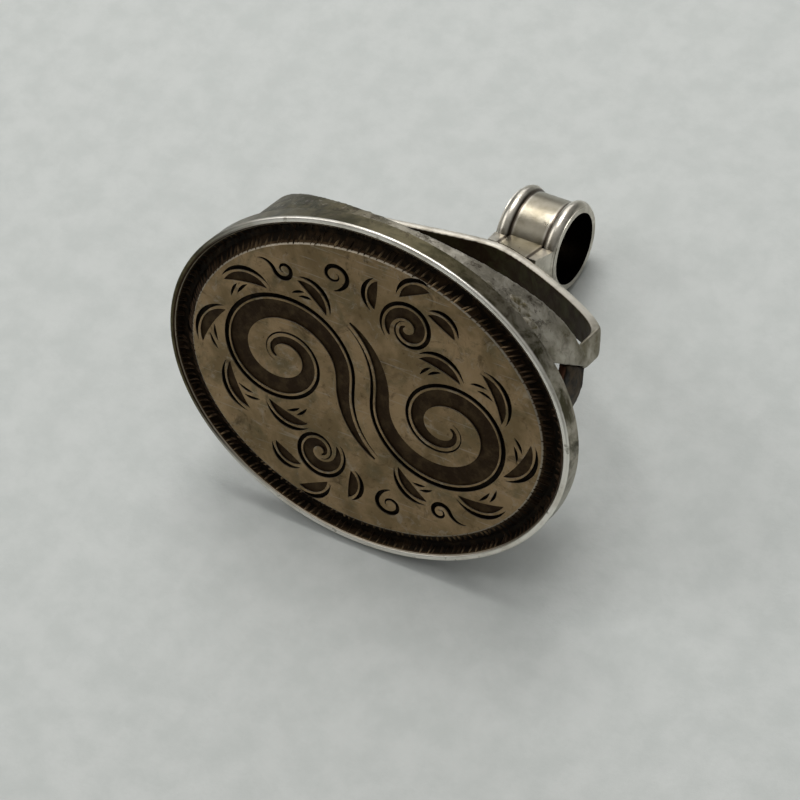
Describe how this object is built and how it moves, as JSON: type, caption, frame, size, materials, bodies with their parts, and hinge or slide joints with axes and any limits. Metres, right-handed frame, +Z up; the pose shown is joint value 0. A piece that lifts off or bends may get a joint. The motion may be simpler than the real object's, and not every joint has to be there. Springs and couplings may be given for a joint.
{
  "type": "wax seal stamp",
  "caption": "Oval fob seal resting on its side: engraved scroll face inside a hollow hatched border, a saddle-bent collar and arched strap behind it, and a reeded ring to hang it by.",
  "frame": {"origin": "on the table, under the middle of the seal's overall box", "axes": "+X along the long axis of the oval face and along the ring's bore, +Z up from the table, and the engraved face looks towards -Y and a little upwards"},
  "size_m": [0.025, 0.025, 0.019],
  "materials": {
    "engraved_silver": "tarnished silver, cut lines dark with patina",
    "worn_silver": "silver worn bright at the edge",
    "tarnished_silver": "silver with a dull olive tarnish, bright at its worn edges",
    "solder": "dull silver solder",
    "ring_silver": "smooth silver with light tarnish"
  },
  "bodies": {
    "root": {"seal_plate": "engraved_silver", "rim_band": "worn_silver", "collar_upper": "tarnished_silver", "collar_lower": "tarnished_silver", "solder_bead_upper": "solder", "solder_bead_lower": "solder", "strap": "tarnished_silver", "saddle": "tarnished_silver", "bail_band": "ring_silver", "bail_reed_left": "ring_silver", "bail_reed_right": "ring_silver"}
  },
  "joints": []
}
